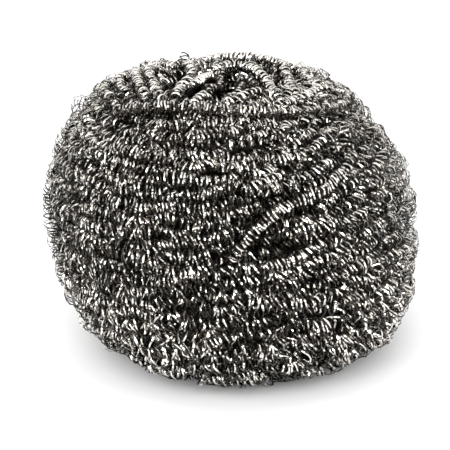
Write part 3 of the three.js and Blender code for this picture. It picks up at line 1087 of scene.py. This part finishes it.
class SCOURER_OT_crown_folds(bpy.types.Operator):
    """Gather strands over the rim into the hollow of the crown"""

    bl_idname = "scourer.crown_folds"
    bl_label = "Crown folds"

    def execute(self, context):
        wire = context.scene.scourer_wire
        routes = crown_folds(wire)
        for number, points in enumerate(CROWN_STRANDS):
            routes.append(crown_strand(points, wire, 300 + number, number))
        for number, points in enumerate(HOLLOW_STRANDS):
            route = crown_strand(points, wire, 330 + number, 30 + number)
            # The strands in the hollow get less painted shade than their depth gives.
            route["gloom"] = 0.7 * route["gloom"]
            routes.append(route)
        routes.append(crown_strand(TIGHT_STRAND, wire, 350, 50, tightness=0.45))
        routes.extend(floor_strands(wire))
        coil_piece("crown_folds", routes, wire, {
            "Radius Jitter": 0.4, "Twist Jitter": 1.6, "Crumple": 1.0 * MM})
        return {"FINISHED"}


class SCOURER_OT_crossing_strands(bpy.types.Operator):
    """Lay a few strands across the windings on the sides"""

    bl_idname = "scourer.crossing_strands"
    bl_label = "Crossing strands"

    def execute(self, context):
        wire = context.scene.scourer_wire
        # The first crossing strand is painted lighter than the others.
        routes = [crossing_strand(CROSSING_STRANDS[0], wire, 400, 0, gloom=-0.12, slack=0.9)]
        for number, points in enumerate(CROSSING_STRANDS[1:], 1):
            routes.append(crossing_strand(points, wire, 400 + number, number, tightness=1.05))
        for number, points in enumerate(CREST_STRANDS):
            # The crest's loops are painted darker underneath, as shade.
            routes.append(crossing_strand(points, wire, 450 + number, 20 + number, 0.8, sag=0.9))
        for number, (angle, length) in enumerate(END_ON_STRANDS):
            routes.append(end_on_strand(angle, length, wire, number))
        coil_piece("crossing_strands", routes, wire, {"Tilt Jitter": 0.5})
        return {"FINISHED"}


class SCOURER_OT_stray_loop(bpy.types.Operator):
    """Let a short end of the coil stand up from the rim, behind the hollow"""

    bl_idname = "scourer.stray_loop"
    bl_label = "Stray loop"

    def execute(self, context):
        wire = context.scene.scourer_wire
        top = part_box(NODE)[1].z
        low = wire.wire_thickness + BOX_ROOM
        along = np.linspace(-1, 1, 9)
        middle = HOLLOW_RADIUS * math.cos(STRAY_LOOP_ANGLE) + lean_at(BUN_HEIGHT) + CENTRE_SHIFT
        behind = HOLLOW_RADIUS * math.sin(STRAY_LOOP_ANGLE) * BUN_DEPTH / BUN_WIDTH
        places = np.stack([
            middle + 0.5 * MM * along,
            behind + 1.0 * MM * along,
            top - STRAY_LOOP_RADIUS - low - 0.9 * MM * (1 - along),
        ], axis=-1)
        outward = np.tile([0.0, 0.0, 1.0], (len(along), 1))
        # Painted shade: the stray loop is painted dark.
        route = strand(places, outward, pitch=1.0 * MM, slack=1.0, start_turns=0.3, gloom=0.8, unrest=0.5)
        coil_piece("stray_loop", [route], wire, {
            "Coil Radius": STRAY_LOOP_RADIUS, "Radius Jitter": 0.3, "Loop Tilt": 0.0, "Tilt Jitter": 0.5,
            "Crumple": 0.6 * MM, "Step": 0.06 * MM})
        return {"FINISHED"}


class SCOURER_OT_inner_windings(bpy.types.Operator):
    """Wind the strand round once more, under the windings that show"""

    bl_idname = "scourer.inner_windings"
    bl_label = "Inner windings"

    def execute(self, context):
        wire = context.scene.scourer_wire
        steps_per_loop = 8
        pitch_scale = 1.5
        first = HOLLOW_TURNS - 2
        last = HOLLOW_TURNS + outline.side_turns
        # Painted shade: the inner windings are painted darker than the ones that show.
        route = winding_strand(
            first, last, wire, wire.coil_radius + 2.4 * MM, 91, rise=-7 * MM, turn_step=1.25,
            pitch_scale=pitch_scale, wander=1.2 * MM, uneven=0.8 * MM, gloom=0.2)
        step = wire.coil_pitch * pitch_scale / steps_per_loop
        coil_piece("inner_windings", [route], wire, {"Step": step})
        return {"FINISHED"}


class SCOURER_OT_packed_windings(bpy.types.Operator):
    """Fill the inside with the windings packed there, as one ridged mass"""

    bl_idname = "scourer.packed_windings"
    bl_label = "Packed windings"

    def execute(self, context):
        rows, columns = 190, 170
        length = np.linspace(0, outline.length[-1], rows)[:, None]
        angle = (FULL_TURN * np.arange(columns) / columns)[None, :]
        wave = length / (3.4 * MM) + 2 * np.sin(angle) + angle / FULL_TURN
        ridge = 0.5 + 0.5 * np.cos(FULL_TURN * wave)
        depth = (6.2 + 6.0 * falling(length, outline.rim, 6 * MM) + 1.6 * ridge) * MM
        length = np.broadcast_to(length, depth.shape)
        angle = np.broadcast_to(angle, depth.shape)
        places, _ = bun_points(length.ravel(), angle.ravel(), depth.ravel())
        places = places.reshape(rows, columns, 3)
        ends = places[[0, -1]].mean(axis=1)
        vertices = [*places.reshape(-1, 3).tolist(), *ends.tolist()]

        def corner(row, column):
            return row * columns + column % columns

        faces = []
        for row in range(rows - 1):
            for column in range(columns):
                faces.append((
                    corner(row, column), corner(row + 1, column),
                    corner(row + 1, column + 1), corner(row, column + 1)))
        top, bottom = rows * columns, rows * columns + 1
        for column in range(columns):
            faces.append((top, corner(0, column), corner(0, column + 1)))
            faces.append((bottom, corner(rows - 1, column + 1), corner(rows - 1, column)))
        mesh = bpy.data.meshes.new("packed_windings")
        mesh.from_pydata(vertices, [], faces)
        # The packed mass is painted dark, as shade.
        mesh.materials.append(deep_shade_material())
        mesh.polygons.foreach_set("use_smooth", np.ones(len(mesh.polygons), bool))
        add_piece("packed_windings", mesh)
        return {"FINISHED"}


class SCOURER_OT_stage(bpy.types.Operator):
    """Set the table, the lights and the camera"""

    bl_idname = "scourer.stage"
    bl_label = "Stage"

    def execute(self, context):
        stage = context.scene.scourer_stage
        add_table(stage)
        add_world()
        add_lamps()
        add_camera(stage)
        context.scene.view_settings.view_transform = "Standard"
        return {"FINISHED"}


def add_table(stage):
    """A wide pale table top, just under the bun."""
    half = 3.0
    sink = 0.05 * MM
    corners = [(half * x, half * y, -sink) for x, y in ((-1, -1), (1, -1), (1, 1), (-1, 1))]
    mesh = bpy.data.meshes.new("table_top")
    mesh.from_pydata(corners, [], [(0, 1, 2, 3)])
    material = bpy.data.materials.new("pale_table")
    nodes = fresh_nodes(material)
    shader = nodes.add("ShaderNodeBsdfPrincipled", None, {
        "Base Color": (*stage.table, 1), "Roughness": 1.0, "Specular IOR Level": 0.0})
    nodes.add("ShaderNodeOutputMaterial", None, {"Surface": shader})
    mesh.materials.append(material)
    add_object("table_top", mesh)


# Brightness of the room by height, from below the horizon to overhead, in front of the bun and behind it.
FRONT_SKY = ((0.0, 1.0), (0.1, 1.0), (0.13, 0.01), (0.74, 0.01), (0.8, 1.3), (1.0, 1.3))
BACK_SKY = (
    (0.0, 1.0), (0.1, 1.0), (0.13, 0.6), (0.2, 0.6), (0.28, 0.9), (0.7, 0.9), (0.8, 1.1), (1.0, 1.1))


def add_world():
    """A pale horizon and ceiling with a dark band between them, darkest in front of the bun."""
    world = bpy.data.worlds.new("studio")
    bpy.context.scene.world = world
    nodes = fresh_nodes(world)
    direction = nodes.add("ShaderNodeTexCoord", None, None, "Generated")
    parts = nodes.add("ShaderNodeSeparateXYZ", None, {"Vector": direction})
    front, back = (nodes.ramp(parts.out("Z"), stops) for stops in (FRONT_SKY, BACK_SKY))
    light = nodes.mix(nodes.share(parts.out("Y"), -0.1, 0.35), front, back)
    shader = nodes.add("ShaderNodeBackground", None, {"Color": light, "Strength": 1.0})
    nodes.add("ShaderNodeOutputWorld", None, {"Surface": shader})


# Far soft lamps: azimuth from the right, elevation, width across the sky, and light that reaches the bun.
LAMPS = (
    ("key_lamp", -95, 36, 40, 2.3),
    ("left_front_lamp", -140, 32, 36, 1.2),
    ("right_front_lamp", -40, 32, 36, 0.98),
)


def add_lamps():
    """Soft lamps so far off that they light the whole table alike."""
    for name, azimuth, elevation, width, strength in LAMPS:
        lamp = bpy.data.lights.new(name, "SUN")
        lamp.energy = strength
        lamp.angle = math.radians(width)
        holder = add_object(name, lamp)
        around, above = math.radians(azimuth), math.radians(elevation)
        toward = Vector((
            math.cos(around) * math.cos(above), math.sin(around) * math.cos(above), math.sin(above)))
        holder.rotation_euler = (-toward).to_track_quat("-Z", "Y").to_euler()


# The picture's side and the place in it of the bun's middle, in pixels, and the camera's sensor in mm.
PICTURE_SIDE = 450
PICTURE_PLACE = (232.2, 213.8)
SENSOR = 36.0


def add_camera(stage):
    """The camera looks down on the front, so that the middle of the bun falls where the picture has it."""
    camera = bpy.data.cameras.new("camera")
    camera.sensor_width = SENSOR
    camera.lens = stage.picture_scale * stage.camera_distance / MM / PICTURE_SIDE * SENSOR
    camera.clip_start, camera.clip_end = 0.01, 20.0
    holder = add_object("camera", camera)
    elevation = stage.camera_elevation
    back = Vector((0, -math.cos(elevation), math.sin(elevation)))
    up = Vector((0, math.sin(elevation), math.cos(elevation)))
    aside = (PICTURE_SIDE / 2 - PICTURE_PLACE[0]) / stage.picture_scale * MM
    above = (PICTURE_PLACE[1] - PICTURE_SIDE / 2) / stage.picture_scale * MM
    aim = Vector((aside, 0, BUN_HEIGHT / 2)) + up * above
    holder.location = aim + back * stage.camera_distance
    holder.rotation_euler = (-back).to_track_quat("-Z", "Y").to_euler()
    bpy.context.scene.camera = holder


class SCOURER_PT_panel(bpy.types.Panel):
    """Lists the pieces of the scourer"""

    bl_idname = "SCOURER_PT_panel"
    bl_label = "Scourer"
    bl_space_type = "VIEW_3D"
    bl_region_type = "UI"
    bl_category = "Scourer"

    def draw(self, context):
        for group in (context.scene.scourer_wire, context.scene.scourer_stage):
            for name in group.__annotations__:
                self.layout.prop(group, name)
        for operator in OPERATORS:
            self.layout.operator(operator.bl_idname)


OPERATORS = (
    SCOURER_OT_body_windings,
    SCOURER_OT_crown_folds,
    SCOURER_OT_crossing_strands,
    SCOURER_OT_stray_loop,
    SCOURER_OT_inner_windings,
    SCOURER_OT_packed_windings,
    SCOURER_OT_stage,
)
CLASSES = (ScourerWire, ScourerStage, *OPERATORS, SCOURER_PT_panel)


def register():
    for kind in CLASSES:
        bpy.utils.register_class(kind)
    bpy.types.Scene.scourer_wire = bpy.props.PointerProperty(type=ScourerWire)
    bpy.types.Scene.scourer_stage = bpy.props.PointerProperty(type=ScourerStage)


def unregister():
    del bpy.types.Scene.scourer_stage
    del bpy.types.Scene.scourer_wire
    for kind in reversed(CLASSES):
        bpy.utils.unregister_class(kind)


def main():
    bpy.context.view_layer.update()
    register()
    bpy.ops.scourer.body_windings()
    bpy.ops.scourer.crown_folds()
    bpy.ops.scourer.crossing_strands()
    bpy.ops.scourer.stray_loop()
    bpy.ops.scourer.inner_windings()
    bpy.ops.scourer.packed_windings()
    bpy.ops.scourer.stage()


if __name__ == "__main__":
    main()
